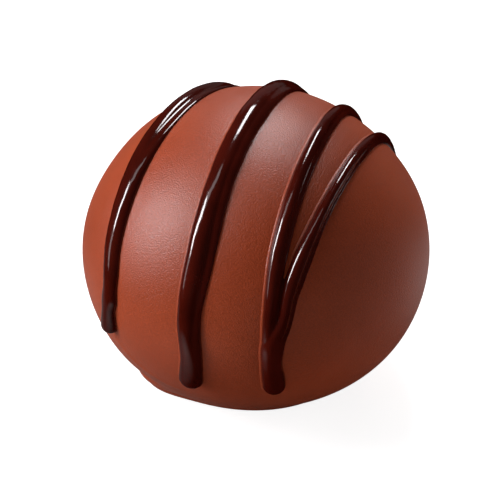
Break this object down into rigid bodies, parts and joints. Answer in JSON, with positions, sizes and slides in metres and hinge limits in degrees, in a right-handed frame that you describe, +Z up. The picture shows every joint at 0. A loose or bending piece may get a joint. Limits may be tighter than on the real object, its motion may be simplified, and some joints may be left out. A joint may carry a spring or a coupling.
{
  "type": "drizzled chocolate ball",
  "caption": "Round milk chocolate on a small flat base, with threads of dark chocolate drizzled over its top.",
  "frame": {"origin": "centre of the flat base, on the surface that the ball stands on", "axes": "+Z up through the crown; the drizzled threads run along Y, and -Y is the side they are seen on"},
  "size_m": [0.03, 0.0314, 0.0261],
  "materials": {
    "milk_chocolate": "satin",
    "dark_chocolate": "gloss"
  },
  "bodies": {
    "root": {"chocolate_ball": "milk_chocolate"}
  },
  "joints": []
}
